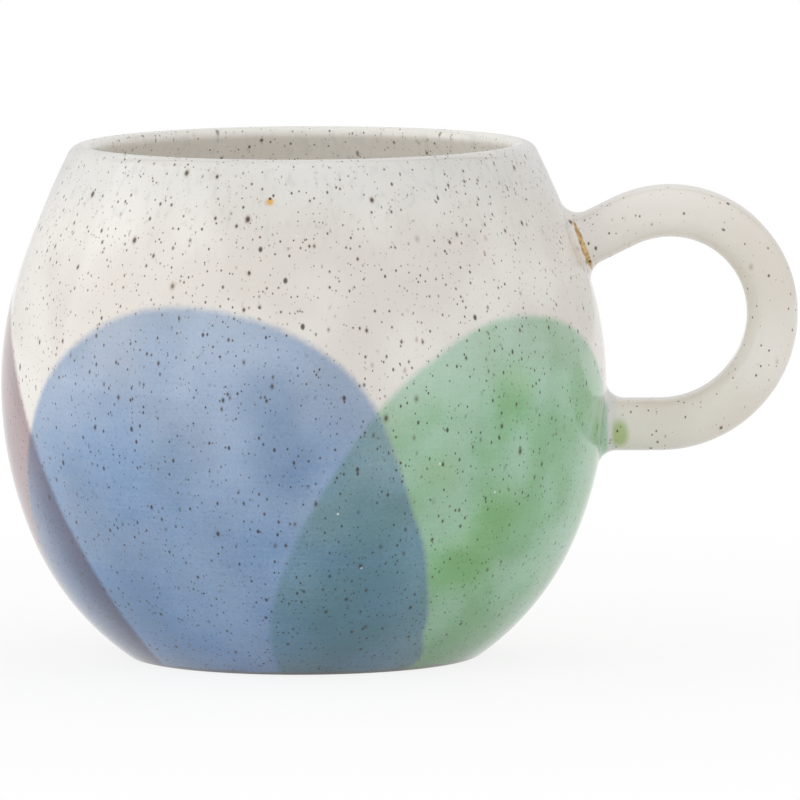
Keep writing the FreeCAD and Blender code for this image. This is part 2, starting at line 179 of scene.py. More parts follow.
ring_inner = FOOT_RADIUS - FOOT_WIDTH
skirt_centre, skirt_radius = WALL_ARCS[0]
foot_centre_run = math.sqrt((skirt_radius - FOOT_ROUND)**2 - (skirt_centre.y - FOOT_ROUND)**2)
foot_centre = Vector((skirt_centre.x + foot_centre_run, FOOT_ROUND))
foot_end = bearing(skirt_centre, foot_centre)
for run in (0.0, 8.0, 16.0, ring_inner - FOOT_RECESS - 0.4):
    add_point((run, FOOT_RECESS), BARE)
add_point((ring_inner - FOOT_RECESS, FOOT_RECESS - 0.12), BARE)
add_point((ring_inner - 0.25, 0.3), BARE)
add_point((ring_inner + 0.15, 0.0), BARE)
add_point((foot_centre.x, 0.0), BARE)
add_arc(foot_centre, FOOT_ROUND, -math.pi / 2, foot_end, OUTSIDE, 0.3)
print(len(section), "points under the foot")

# %% Outside, lip and inside
stations = (foot_centre, low_meet, belly_point, high_meet, neck_point)
for (centre, radius), lower, upper in zip(WALL_ARCS, stations, stations[1:]):
    add_arc(centre, radius, bearing(centre, lower), bearing(centre, upper), OUTSIDE)
add_arc(lip_centre, LIP_ROUND, neck_lean, math.pi / 2, OUTSIDE, 0.3)

shoulder_centre, shoulder_radius = WALL_ARCS[3]
inner_radius = shoulder_radius - WALL
over = crest_point - shoulder_centre
inner_round = (over.length_squared - inner_radius**2) / (2.0 * (inner_radius + over.y))
inner_centre = crest_point - Vector((0.0, inner_round))
lip_end = bearing(shoulder_centre, inner_centre)
add_arc(inner_centre, inner_round, math.pi / 2, lip_end + math.pi, INSIDE, 0.3)

sweep_rise = FLOOR_HEIGHT + FLOOR_ROUND - skirt_centre.y
sweep_run = math.sqrt((skirt_radius - WALL - FLOOR_ROUND)**2 - sweep_rise**2)
sweep_centre = skirt_centre + Vector((sweep_run, sweep_rise))
sweep_start = bearing(skirt_centre, sweep_centre)
add_arc(shoulder_centre, inner_radius, lip_end, bearing(shoulder_centre, high_meet), INSIDE)
stops = ((WALL_ARCS[2], high_meet, belly_point), (WALL_ARCS[1], belly_point, low_meet))
for (centre, radius), upper, lower in stops:
    add_arc(centre, radius - WALL, bearing(centre, upper), bearing(centre, lower), INSIDE)
add_arc(skirt_centre, skirt_radius - WALL, bearing(skirt_centre, low_meet), sweep_start, INSIDE)
add_arc(sweep_centre, FLOOR_ROUND, sweep_start, -math.pi / 2, INSIDE)
for run in (15.0, 8.0, 0.0):
    add_point((run, FLOOR_HEIGHT), INSIDE)
print(len(section), "points in the whole section")

# %% [markdown]
# ## The skin of the bowl
# Turning is a revolve: every point of the section becomes a circle. The mesh
# is written ring by ring, with one shared point in the middle of the floor and
# one under the foot, so it is closed like the clay. A thrown rim is never quite
# level, so it dips by about a quarter of a millimetre on one side.

# %% Turn the section
BOWL_STEPS = 320
DIP_START, DIP_DEPTH = 76.0, 0.11


def rim_dip(angle, height):
    """How far the rim sinks at an angle, in millimetres."""
    near_rim = min(1.0, max(0.0, (height - DIP_START) / (CUP_HEIGHT - DIP_START)))
    wave = 1.0 - math.cos(angle + 1.1) + 0.25 * (1.0 - math.cos(3.0 * angle + 0.4))
    return DIP_DEPTH * near_rim**2 * wave


def link_mesh(name, mesh_data):
    piece = bpy.data.objects.new(name, mesh_data)
    bpy.context.scene.collection.objects.link(piece)
    return piece


shape = bmesh.new()
rings = []
for point in section:
    count = 1 if point.x == 0.0 else BOWL_STEPS
    ring = []
    for number in range(count):
        angle = math.tau * number / BOWL_STEPS
        height = point.y - (rim_dip(angle, point.y) if count > 1 else 0.0)
        place = Vector((point.x * math.cos(angle), point.x * math.sin(angle), height))
        ring.append(shape.verts.new(place * MM))
    rings.append(ring)
for first, second, finish in zip(rings, rings[1:], finishes[1:]):
    for number in range(BOWL_STEPS):
        following = (number + 1) % BOWL_STEPS
        corners = [first[number % len(first)], first[following % len(first)],
                   second[following % len(second)], second[number % len(second)]]
        face = shape.faces.new(list(dict.fromkeys(corners)))
        face.material_index = finish
        face.smooth = True
bmesh.ops.recalc_face_normals(shape, faces=shape.faces)
bowl_mesh = bpy.data.meshes.new("glazed_bowl")
shape.to_mesh(bowl_mesh)
shape.free()
bowl = link_mesh("glazed_bowl", bowl_mesh)
print("bowl skin:", len(bowl_mesh.polygons), "faces")

# %% [markdown]
# ## The strap of the handle
# The handle is a pulled strap with soft edges that is bent while the clay still
# gives. Its section is a rectangle with big round corners. It is swept along a
# line of one straight arm, three arcs and a second straight arm.

# %% Strap section and centreline
HANDLE_REACH, HANDLE_HIGH, HANDLE_LOW = 81.6, 73.4, 38.0
TOP_ROUND, ROOT_ROUND, ROOT_SLOPE = 16.85, 17.3, math.radians(26.0)
STRAP_THICK, STRAP_WIDE, STRAP_EDGE = 8.4, 10.6, 3.6


def strap_outline(corner_steps=14, side_steps=3):
    """Points round the strap as (across, out), each with the way it faces."""
    outline = []
    for quarter in range(4):
        angle = quarter * math.pi / 2
        facing = Vector((math.cos(angle), math.sin(angle)))
        ahead = Vector((-facing.y, facing.x))
        half_across, half_out = STRAP_WIDE / 2, STRAP_THICK / 2
        depth, reach = (half_across, half_out) if quarter % 2 == 0 else (half_out, half_across)
        run = reach - STRAP_EDGE
        for number in range(side_steps):
            outline.append((facing * depth + ahead * run * (2 * number / side_steps - 1), facing))
        corner = facing * (depth - STRAP_EDGE) + ahead * run
        for number in range(corner_steps):
            tilt = angle + math.pi / 2 * number / corner_steps
            way = Vector((math.cos(tilt), math.sin(tilt)))
            outline.append((corner + way * STRAP_EDGE, way))
    return outline


OUTLINE = strap_outline()
grip_x = HANDLE_REACH - STRAP_THICK / 2
low_round = HANDLE_HIGH - HANDLE_LOW - TOP_ROUND
level = HANDLE_HIGH - TOP_ROUND
bends = (
    (Vector((grip_x - low_round, level)), low_round, -math.pi / 2, 0.0),
    (Vector((grip_x - TOP_ROUND, level)), TOP_ROUND, 0.0, math.pi / 2),
    (Vector((grip_x - TOP_ROUND, HANDLE_HIGH - ROOT_ROUND)), ROOT_ROUND, math.pi / 2,
     math.pi / 2 + ROOT_SLOPE),
)
line = []
for centre, radius, start, end in bends:
    count = round((end - start) * radius / 0.9)
    for number in range(count + 1):
        if number or not line:
            angle = start + (end - start) * number / count
            facing = Vector((math.cos(angle), math.sin(angle)))
            line.append((centre + radius * facing, facing))
print(len(line), "places along the bends,", len(OUTLINE), "points round the strap")


# %% [markdown]
# ## The roots
# Where the strap meets the wall the potter wipes a little slip into the corner.
# That collar touches the strap on one side and the wall on the other, like a
# ball rolled round the joint. Each point round the strap is followed to the
# wall, and the ball's arc is laid between the two skins there.

# %% Where a line meets the wall
def wall_gap(place):
    """Distance from a point to the outside of the wall, measured square to it."""
    radius, run, rise = wall_at(place.z)
    return (math.hypot(place.x, place.y) - radius) * run


def wall_facing(place):
    radius, run, rise = wall_at(place.z)
    flat = Vector((place.x, place.y, 0.0)).normalized()
    return run * flat + Vector((0.0, 0.0, rise))


def hit_wall(place, way):
    """Follow a way from a point outside the bowl until it meets the wall."""
    for attempt in range(12):
        place = place - way * wall_gap(place) / way.dot(wall_facing(place))
    return place


def on_strap(centre, facing, spot):
    """A point of the strap's section, placed in space. Its x runs across the strap."""
    across, out = spot
    return Vector((centre.x + facing.x * out, across, centre.y + facing.y * out))


print("gap at the belly:", round(wall_gap(Vector((51.0, 0.0, BELLY_HEIGHT))), 3))


# %% Lay the collars
SINK, TUCK_AHEAD, TUCK_DEEP = 0.02, 0.5, 0.3


def collar_rings(centre, facing, way, size_out, size_side, steps=12):
    """Rings of points and facings from the strap to the wall.

    The last ring is tucked just under the skin of the wall, so no gap shows.
    """
    rings = [[] for number in range(steps + 2)]
    for spot, turned in OUTLINE:
        strap_facing = on_strap(Vector((0.0, 0.0)), facing, turned)
        touch = hit_wall(on_strap(centre, facing, spot), way)
        wall = wall_facing(touch)
        ball = size_side + (size_out - size_side) * turned.y**2
        middle = touch + (strap_facing + wall) * ball / (1.0 + strap_facing.dot(wall))
        open_angle = strap_facing.angle(wall)
        for number in range(steps + 1):
            share = number / steps
            looking = (math.sin((1.0 - share) * open_angle) * strap_facing
                       + math.sin(share * open_angle) * wall) / math.sin(open_angle)
            place = middle - ball * looking
            rings[number].append([place, looking, share])
        last_gap = wall_gap(place)
        for entry in (ring[-1] for ring in rings[:-1]):
            entry[0] = entry[0] - wall * (last_gap + SINK) * entry[2]**2
        edge = rings[steps][-1][0]
        ahead = (strap_facing - wall * strap_facing.dot(wall)).normalized()
        rings[-1].append([edge + TUCK_AHEAD * ahead - TUCK_DEEP * wall, wall, 1.0])
    return rings


lower_end, upper_end = line[0], line[-1]
lower_rings = collar_rings(*lower_end, Vector((-1.0, 0.0, 0.0)), 3.0, 1.9)
down_arm = Vector((-math.cos(ROOT_SLOPE), 0.0, -math.sin(ROOT_SLOPE)))
upper_rings = collar_rings(*upper_end, down_arm, 3.0, 1.5)
print("collar rings:", len(lower_rings), "and", len(upper_rings))


# %% Skin over rings
def skin_rings(name, rings):
    """A tube through rings of points, shaded by the way each point faces."""
    tube = bmesh.new()
    grid = [[tube.verts.new(place * MM) for place, looking, share in ring] for ring in rings]
    around = len(OUTLINE)
    for first, second in zip(grid, grid[1:]):
        for number in range(around):
            following = (number + 1) % around
            face = tube.faces.new((first[number], first[following], second[following], second[number]))
            face.smooth = True
    mesh_data = bpy.data.meshes.new(name)
    tube.to_mesh(mesh_data)
    tube.free()
    facings = [looking.normalized() for ring in rings for place, looking, share in ring]
    middle = mesh_data.polygons[len(mesh_data.polygons) // 2]
    if middle.normal.dot(facings[middle.vertices[0]]) < 0.0:
        mesh_data.flip_normals()
    mesh_data.normals_split_custom_set_from_vertices(facings)
    return link_mesh(name, mesh_data)


lower_collar = skin_rings("lower_slip_collar", lower_rings)
upper_collar = skin_rings("upper_slip_collar", upper_rings)
print("collar faces:", len(lower_collar.data.polygons), len(upper_collar.data.polygons))

# %% Skin of the handle
arm_steps = 6
strap_rings = []
bend_rings = []
for centre, facing in line:
    ring = []
    for spot, turned in OUTLINE:
        looking = on_strap(Vector((0.0, 0.0)), facing, turned)
        ring.append([on_strap(centre, facing, spot), looking, 0.0])
    bend_rings.append(ring)
for root, end in ((lower_rings[0], bend_rings[0]), (bend_rings[-1], upper_rings[0])):
    arm = []
    for number in range(arm_steps + 1):
        share = number / arm_steps
        arm.append([[a[0].lerp(b[0], share), a[1].lerp(b[1], share), 0.0]
                    for a, b in zip(root, end)])
    strap_rings.append(arm)
handle = skin_rings("glazed_handle", strap_rings[0][:-1] + bend_rings + strap_rings[1][1:])
print("handle skin:", len(handle.data.polygons), "faces")

# %% [markdown]
# ## Which skin stands for which solid
# Every skin rides on the one body of the mug and hides the solid it dresses.

# %% Ties to the solids
ties = (
    (bowl, "bowl", "bowl_stoneware"),
    (handle, "handle", "handle_stoneware"),
    (lower_collar, "lower_slip_joint", "slip"),
    (upper_collar, "upper_slip_joint", "slip"),
)
for piece, node, finish in ties:
    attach(piece, "root")
    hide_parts(node)
print([piece.name for piece, node, finish in ties])


# %% [markdown]
# ## Small tools for shader nodes
# Glaze is painted with nodes. A few helpers keep the recipes short. They make a
# node and join its inputs, blend colours, find a spot or a stretch in
# millimetres, and open and place node groups with named sockets.

# %% Node helpers
def put(tree, kind, inputs=(), **settings):
    """Add a node. Inputs are pairs of a socket and a value or another socket."""
    made = tree.nodes.new(kind)
    for name, value in settings.items():
        setattr(made, name, value)
    for socket, value in dict(inputs).items():
        target = made.inputs[socket]
        if isinstance(value, bpy.types.NodeSocket):
            tree.links.new(value, target)
        else:
            target.default_value = value
    return made


def maths(tree, operation, *values):
    return put(tree, "ShaderNodeMath", enumerate(values), operation=operation).outputs[0]


def ramp(tree, value, low, high, start=0.0, end=1.0):
    """A smooth step of a value from one level to another."""
    inputs = {"Value": value, 1: low, 2: high, 3: start, 4: end}
    made = put(tree, "ShaderNodeMapRange", inputs, interpolation_type="SMOOTHSTEP")
    return made.outputs["Result"]


def between(tree, length, limits, start=0.0, end=1.0):
    """A smooth step of a length between two limits given in millimetres."""
    return ramp(tree, length, limits[0] * MM, limits[1] * MM, start, end)


def blend(tree, share, first, second, kind="MIX"):
    """One colour over another."""
    made = put(tree, "ShaderNodeMix", {0: share, 6: first, 7: second},
               data_type="RGBA", blend_type=kind)
    return made.outputs[2]


def near_spot(tree, place, spot, inner, outer):
    """One near a spot given in millimetres, falling to nothing at the outer distance."""
    centre = tuple(number * MM for number in spot)
    far = put(tree, "ShaderNodeVectorMath", {0: place, 1: centre}, operation="DISTANCE").outputs["Value"]
    return ramp(tree, far, inner * MM, outer * MM, 1.0, 0.0)


def open_group(name, inputs, outputs):
    group = bpy.data.node_groups.new(name, "ShaderNodeTree")
    for label, kind, value in inputs:
        socket = group.interface.new_socket(name=label, in_out="INPUT", socket_type=kind)
        if value is not None:
            socket.default_value = value
    for label, kind in outputs:
        group.interface.new_socket(name=label, in_out="OUTPUT", socket_type=kind)
    start = group.nodes.new("NodeGroupInput").outputs
    end = group.nodes.new("NodeGroupOutput").inputs
    return group, start, end


def place_group(tree, group, inputs=()):
    made = put(tree, "ShaderNodeGroup", node_tree=group)
    for socket, value in dict(inputs).items():
        if isinstance(value, bpy.types.NodeSocket):
            tree.links.new(value, made.inputs[socket])
        else:
            made.inputs[socket].default_value = value
    return made.outputs


def rgb(red, green, blue):
    """A screen colour from 0 to 255 as the linear colour that nodes use."""
    def linear(level):
        level /= 255.0
        return level / 12.92 if level <= 0.04045 else ((level + 0.055) / 1.055)**2.4
    return (linear(red), linear(green), linear(blue), 1.0)


FLOAT, COLOUR, VECTOR = "NodeSocketFloat", "NodeSocketColor", "NodeSocketVector"
print("cream as a linear colour:", [round(level, 2) for level in rgb(236, 231, 223)])

# %% [markdown]
# ## Iron grains
# The clay holds grains of iron ore that melt through the glaze as dark dots.
# They lie in the clay like stones in concrete, so a Voronoi pattern in space is
# right: the skin cuts each ball-shaped grain at its own depth, and the dots
# come out in all sizes. A stretch below one draws them upright, where the
# glaze has run. Bigger grains bleed a brown halo into the glaze.

# %% Group for grains
grains, start, end = open_group(
    "Iron grains",
    [("Vector", VECTOR, None), ("Spacing", FLOAT, 1.6), ("Size", FLOAT, 0.3),
     ("Share", FLOAT, 0.5), ("Stretch", FLOAT, 1.0), ("Shift", FLOAT, 0.0)],
    [("Grain", FLOAT), ("Halo", FLOAT)],
)
per_mm = maths(grains, "DIVIDE", 1.0 / MM, start["Spacing"])
upright_scale = maths(grains, "MULTIPLY", per_mm, start["Stretch"])
scale = put(grains, "ShaderNodeCombineXYZ", {0: per_mm, 1: per_mm, 2: upright_scale}).outputs[0]
spread = put(grains, "ShaderNodeVectorMath", {0: start["Vector"], 1: scale},
             operation="MULTIPLY").outputs[0]
shift = put(grains, "ShaderNodeCombineXYZ", {0: start["Shift"], 2: start["Shift"]}).outputs[0]
placed = put(grains, "ShaderNodeVectorMath", {0: spread, 1: shift}, operation="ADD").outputs[0]
cells = put(grains, "ShaderNodeTexVoronoi", {"Vector": placed, "Scale": 1.0}, feature="F1")
chance = put(grains, "ShaderNodeSeparateColor", {0: cells.outputs["Color"]}).outputs
there = maths(grains, "LESS_THAN", chance[0], start["Share"])
big = maths(grains, "POWER", chance[1], 2.5)
grain_size = maths(grains, "MULTIPLY_ADD", big, 0.9, 0.45)
reach = maths(grains, "MULTIPLY", grain_size, maths(grains, "DIVIDE", start["Size"], start["Spacing"]))
depth = maths(grains, "DIVIDE", cells.outputs["Distance"], reach)
core = ramp(grains, depth, 0.45, 1.2, 1.0, 0.0)
bleed = ramp(grains, depth, 0.6, 2.1, 1.0, 0.0)
bleeds = maths(grains, "GREATER_THAN", chance[2], 0.55)
grains.links.new(maths(grains, "MULTIPLY", core, there), end["Grain"])
halo = maths(grains, "MULTIPLY", bleed, maths(grains, "MULTIPLY", there, bleeds))
grains.links.new(halo, end["Halo"])
print(grains.name, "has", len(grains.nodes), "nodes")

# %% [markdown]
# ## Glaze dips
# The coloured rounds are made by dipping the side of the mug into a bowl of
# coloured glaze. The glaze wets everything beyond a rounded front, so the mask
# measures how far a point lies outside a large ball, with a little wobble and
# a soft edge where the wet glaze has crept.

# %% Group for dips
dips, start, end = open_group(
    "Glaze dip",
    [("Vector", VECTOR, None), ("Centre", VECTOR, (0.0, 0.0, 0.0)), ("Radius", FLOAT, 60.0),
     ("Soft", FLOAT, 1.2), ("Wobble", FLOAT, 0.8), ("Nudge", FLOAT, 0.0)],
    [("Field", FLOAT), ("Depth", FLOAT)],
)
in_mm = put(dips, "ShaderNodeVectorMath", {0: start["Vector"], "Scale": 1.0 / MM},
            operation="SCALE").outputs[0]
far = put(dips, "ShaderNodeVectorMath", {0: in_mm, 1: start["Centre"]},
          operation="DISTANCE").outputs["Value"]
drift = put(dips, "ShaderNodeTexNoise", {"Vector": in_mm, "Scale": 0.07, "Detail": 1.0}).outputs[0]
drift = maths(dips, "MULTIPLY", maths(dips, "SUBTRACT", drift, 0.5), start["Wobble"])
fringe = put(dips, "ShaderNodeTexNoise", {"Vector": in_mm, "Scale": 1.1, "Detail": 2.0}).outputs[0]
fringe = maths(dips, "MULTIPLY", maths(dips, "SUBTRACT", fringe, 0.5), 0.25)
front = maths(dips, "ADD", maths(dips, "SUBTRACT", far, start["Radius"]), start["Nudge"])
front = maths(dips, "ADD", front, maths(dips, "ADD", drift, fringe))
half_soft = maths(dips, "MULTIPLY", start["Soft"], 0.5)
minus_soft = maths(dips, "MULTIPLY", start["Soft"], -0.5)
dips.links.new(ramp(dips, front, minus_soft, half_soft), end["Field"])
dips.links.new(ramp(dips, front, 0.3, 4.0), end["Depth"])
print(dips.name, "has", len(dips.nodes), "nodes")

# %% [markdown]
# ## Cloudy colour
# A thin glaze pools and breaks, so each colour has light and dark clouds, and a
# brush or a sponge leaves faint level streaks and a fine mottle in it. The group
# mixes two tones with a slow noise, a flat one and a fine one. The ground says
# how thick the glaze is to begin with.

# %% Group for clouds
clouds, start, end = open_group(
    "Cloudy colour",
    [("Vector", VECTOR, None), ("Thin", COLOUR, None), ("Thick", COLOUR, None),
     ("Size", FLOAT, 14.0), ("Streaks", FLOAT, 0.1), ("Mottle", FLOAT, 0.0),
     ("Strength", FLOAT, 1.0), ("Ground", FLOAT, 0.0), ("Shift", FLOAT, 0.0)],
    [("Colour", COLOUR)],
)
in_mm = put(clouds, "ShaderNodeVectorMath", {0: start["Vector"], "Scale": 1.0 / MM},
            operation="SCALE").outputs[0]
moved = put(clouds, "ShaderNodeVectorMath", {0: in_mm, 1: start["Shift"]}, operation="ADD").outputs[0]
per_size = maths(clouds, "DIVIDE", 1.0, start["Size"])
slow = put(clouds, "ShaderNodeTexNoise",
           {"Vector": moved, "Scale": per_size, "Detail": 2.5, "Roughness": 0.45}).outputs[0]
slow = maths(clouds, "MULTIPLY_ADD", ramp(clouds, slow, 0.33, 0.68), start["Strength"], start["Ground"])
flat = put(clouds, "ShaderNodeVectorMath", {0: in_mm, 1: (0.12, 0.12, 2.2)},
           operation="MULTIPLY").outputs[0]
streak = put(clouds, "ShaderNodeTexNoise", {"Vector": flat, "Scale": 1.0, "Detail": 2.0}).outputs[0]
streak = maths(clouds, "MULTIPLY", maths(clouds, "SUBTRACT", streak, 0.5), start["Streaks"])
sponge = put(clouds, "ShaderNodeTexNoise", {"Vector": in_mm, "Scale": 2.4, "Detail": 1.0}).outputs[0]
sponge = maths(clouds, "MULTIPLY", maths(clouds, "SUBTRACT", sponge, 0.5), start["Mottle"])
thick = maths(clouds, "ADD", maths(clouds, "ADD", slow, streak), sponge)
clouds.links.new(blend(clouds, thick, start["Thin"], start["Thick"]), end["Colour"])
print(clouds.name, "has", len(clouds.nodes), "nodes")

# %% [markdown]
# ## Cream glaze over speckled clay
# This is the finish that the whole mug shares: a warm cream with slow changes
# of tone, small and large iron grains, and dark runs near the rim, where the
# glaze slides off the edge and turns thin and bluish. It is one group, so the
# bowl, the handle and the collars match where they touch.

# %% Group for the speckled cream
# Heights in millimetres between which the runs, the lip and the cool band change,
# and the grains grow denser towards the foot.
RUNS_FROM, LIP_FROM, BAND_FROM, CROWD_FROM = (66.0, 78.5), (83.5, 84.8), (71.0, 82.0), (45.0, 5.0)
BAND_COOL, RUN_GREY, STAIN_BROWN, RUN_BROWN = (
    rgb(214, 218, 216), rgb(186, 192, 190), rgb(150, 116, 82), rgb(98, 92, 78))
cream, start, end = open_group(
    "Speckled cream",
    [("Vector", VECTOR, None), ("Light", COLOUR, None), ("Dark", COLOUR, None),
     ("Grains", FLOAT, 1.0), ("Runs", FLOAT, 1.0)],
    [("Colour", COLOUR), ("Grain", FLOAT)],
)
tone = place_group(cream, clouds, {"Vector": start["Vector"], "Thin": start["Light"],
                                   "Thick": start["Dark"], "Size": 17.0, "Streaks": 0.15,
                                   "Mottle": 0.3})
height = put(cream, "ShaderNodeSeparateXYZ", {0: start["Vector"]}).outputs[2]
near_rim = between(cream, height, RUNS_FROM)
at_edge = between(cream, height, LIP_FROM, 1.0, 0.35)
tall = put(cream, "ShaderNodeVectorMath", {0: start["Vector"], 1: (900.0, 900.0, 90.0)},
           operation="MULTIPLY").outputs[0]
run_noise = put(cream, "ShaderNodeTexNoise", {"Vector": tall, "Scale": 1.0, "Detail": 2.0}).outputs[0]
runs = maths(cream, "MULTIPLY", ramp(cream, run_noise, 0.5, 0.75), near_rim)
runs = maths(cream, "MULTIPLY", maths(cream, "MULTIPLY", runs, at_edge), start["Runs"])
band = maths(cream, "MULTIPLY", between(cream, height, BAND_FROM), start["Runs"])
body = blend(cream, maths(cream, "MULTIPLY", band, 0.35), tone["Colour"], BAND_COOL)
body = blend(cream, maths(cream, "MULTIPLY", runs, 0.3), body, RUN_GREY)
crowd = between(cream, height, CROWD_FROM, 1.0, 1.35)
grain_share = maths(cream, "MULTIPLY", start["Grains"], crowd)
layers = (
    # spacing, size, share of cells that hold a grain, stretch and shift
    (0.66, 0.135, 0.70, 0.72, 0.0),
    (1.15, 0.215, 0.55, 0.62, 7.3),
    (2.30, 0.31, 0.50, 0.66, 19.1),
)
total = 0.0
stain = 0.0
for spacing, grain, share, stretch, moved_by in layers:
    some = maths(cream, "MULTIPLY", grain_share, share)
    made = place_group(cream, grains, {"Vector": start["Vector"], "Spacing": spacing, "Size": grain,
                                       "Share": some, "Stretch": stretch, "Shift": moved_by})
    total = maths(cream, "MAXIMUM", total, made["Grain"])
    stain = maths(cream, "MAXIMUM", stain, made["Halo"])
deep = place_group(cream, grains, {"Vector": start["Vector"], "Spacing": 0.9, "Size": 0.15,
                                   "Share": maths(cream, "MULTIPLY", start["Grains"], 0.6),
                                   "Stretch": 0.7, "Shift": 31.7})
stain = maths(cream, "MAXIMUM", stain, maths(cream, "MULTIPLY", deep["Grain"], 0.9))
run_grains = place_group(cream, grains, {"Vector": start["Vector"], "Spacing": 1.15, "Size": 0.17,
                                         "Share": 0.75, "Stretch": 0.2, "Shift": 4.4})
smear = maths(cream, "MULTIPLY", maths(cream, "MULTIPLY", run_grains["Grain"], near_rim), start["Runs"])
body = blend(cream, maths(cream, "MULTIPLY", stain, 0.42), body, STAIN_BROWN)
body = blend(cream, maths(cream, "MULTIPLY", smear, 0.75), body, RUN_BROWN)
cream.links.new(body, end["Colour"])
cream.links.new(total, end["Grain"])
print(cream.name, "has", len(cream.nodes), "nodes")

# %% [markdown]
# ## Waves in the glaze
# Melted glaze sets like poured honey, in shallow waves a centimetre long, with
# finer ones where it ran down. They are far too low for the mesh, so they go
# into the normal, as a height that every glazed material shares.

# %% Group for the waves
WAVE_HEIGHT = 0.12 * MM
waves, start, end = open_group("Glaze waves", [("Vector", VECTOR, None)], [("Height", FLOAT)])
tall = put(waves, "ShaderNodeVectorMath", {0: start["Vector"], 1: (110.0, 110.0, 60.0)},
           operation="MULTIPLY").outputs[0]
slow = put(waves, "ShaderNodeTexNoise", {"Vector": tall, "Scale": 1.0, "Detail": 1.0}).outputs[0]
waves.links.new(maths(waves, "MULTIPLY", slow, WAVE_HEIGHT), end["Height"])
print(waves.name, "has", len(waves.nodes), "nodes")

# %% [markdown]
# ## The three colours
# A coloured glaze is clear like stained glass, so it multiplies the cream under
# it, and two of them one over the other multiply again: blue over green turns
# teal. The colours here are tints, which is the colour seen divided by the
# cream below it. A real front isn't quite a ball, so a few nudges bend the blue
# one, and a few pools stain the places where the glaze stands thicker.

# %% Group for the dipped colours
dipped, start, end = open_group(
    "Dipped colours",
    [("Vector", VECTOR, None), ("Colour", COLOUR, None)],
    [("Colour", COLOUR)],
)
# Of each dip: the ball of its front, its tints, the size and strength of its clouds, how thick
# it is at the belly and at the foot, how strong it is at its front, and what it loses over
# another colour, everywhere and away from the front.
FIELDS = (
    {"name": "blue", "centre": (18.4, 42.7, 64.8), "radius": 93.9,
     "thin": rgb(182, 203, 234), "thick": rgb(128, 166, 215), "cloud": 15.0, "strength": 0.35,
     "belly": 0.05, "foot": 0.68, "front": 0.92, "loss": 0.0, "deep_loss": 0.0},
    {"name": "green", "centre": (-35.4, 32.4, 67.9), "radius": 96.7,
     "thin": rgb(186, 228, 210), "thick": rgb(146, 204, 158), "cloud": 12.0, "strength": 0.75,
     "belly": 0.05, "foot": 0.40, "front": 0.85, "loss": 0.36, "deep_loss": 0.0},
    {"name": "plum", "centre": (37.0, -8.9, 59.8), "radius": 85.0,
     "thin": rgb(190, 168, 174), "thick": rgb(168, 148, 155), "cloud": 12.0, "strength": 0.6,
     "belly": 0.3, "foot": 0.3, "front": 1.0, "loss": 0.0, "deep_loss": 0.6},
)
FRONT_SOFT, FRONT_WOBBLE, FOOT_FADE = 0.6, 0.3, (62.0, 12.0)
NUDGES = (
    # where the blue front lies off its ball, how far that reaches, and by how much
    ((-19.5, -43.4, 61.6), 26.0, -0.20),
    ((8.1, -48.8, 52.6), 20.0, 0.55),
    ((18.1, -43.7, 27.4), 17.0, -0.42),
    ((20.6, -37.7, 14.5), 11.0, -0.40),
    ((18.9, -25.5, 1.5), 9.0, 1.3),
)
POOLS = (
    # where the glaze stands thicker, how far it is full, where it ends, and its tint
    ((-4.8, -49.7, 47.0), 2.0, 9.0, rgb(222, 230, 236)),
    ((-3.0, -49.4, 37.0), 2.0, 8.5, rgb(222, 230, 236)),
    ((27.1, -35.7, 19.6), 1.0, 10.0, rgb(238, 248, 220)),
    ((31.2, -35.4, 27.5), 1.0, 8.0, rgb(238, 248, 222)),
    ((34.5, -36.0, 47.5), 1.0, 7.5, rgb(240, 248, 226)),
    ((22.3, -43.6, 35.0), 0.5, 6.0, rgb(246, 249, 232)),
)
WHITE = (1.0, 1.0, 1.0, 1.0)


def tinted(share, below, tint):
    """A colour seen through a share of stained glass."""
    return blend(dipped, share, below, blend(dipped, 1.0, below, tint, "MULTIPLY"))


colour = start["Colour"]
cover = 0.0
nudge = 0.0
for spot, reach, amount in NUDGES:
    nudge = maths(dipped, "MULTIPLY_ADD", near_spot(dipped, start["Vector"], spot, 0.0, reach),
                  amount, nudge)
height = put(dipped, "ShaderNodeSeparateXYZ", {0: start["Vector"]}).outputs[2]
for dip in FIELDS:
    bent = nudge if dip["name"] == "blue" else 0.0
    field = place_group(dipped, dips, {"Vector": start["Vector"], "Centre": dip["centre"],
                                       "Radius": dip["radius"], "Soft": FRONT_SOFT,
                                       "Wobble": FRONT_WOBBLE, "Nudge": bent})
    ground = between(dipped, height, FOOT_FADE, dip["belly"], dip["foot"])
    # The radius is different for each dip, so it also keeps their clouds apart.
    tint = place_group(dipped, clouds, {"Vector": start["Vector"], "Thin": dip["thin"],
                                        "Thick": dip["thick"], "Size": dip["cloud"],
                                        "Streaks": 0.25, "Mottle": 0.5, "Ground": ground,
                                        "Strength": dip["strength"], "Shift": dip["radius"]})
    share = maths(dipped, "MULTIPLY_ADD", field["Depth"], 1.0 - dip["front"], dip["front"])
    lost = maths(dipped, "MULTIPLY_ADD", field["Depth"], dip["deep_loss"], dip["loss"])
    lost = maths(dipped, "MULTIPLY", lost, cover)
    share = maths(dipped, "MULTIPLY", share, maths(dipped, "SUBTRACT", 1.0, lost))
    share = maths(dipped, "MULTIPLY", share, field["Field"])
    colour = tinted(share, colour, tint["Colour"])
    cover = maths(dipped, "MAXIMUM", cover, field["Field"])
for spot, inner, outer, tint in POOLS:
    pool = maths(dipped, "MULTIPLY", near_spot(dipped, start["Vector"], spot, inner, outer), cover)
    colour = tinted(pool, colour, tint)
dipped.links.new(colour, end["Colour"])
print(dipped.name, "has", len(dipped.nodes), "nodes")


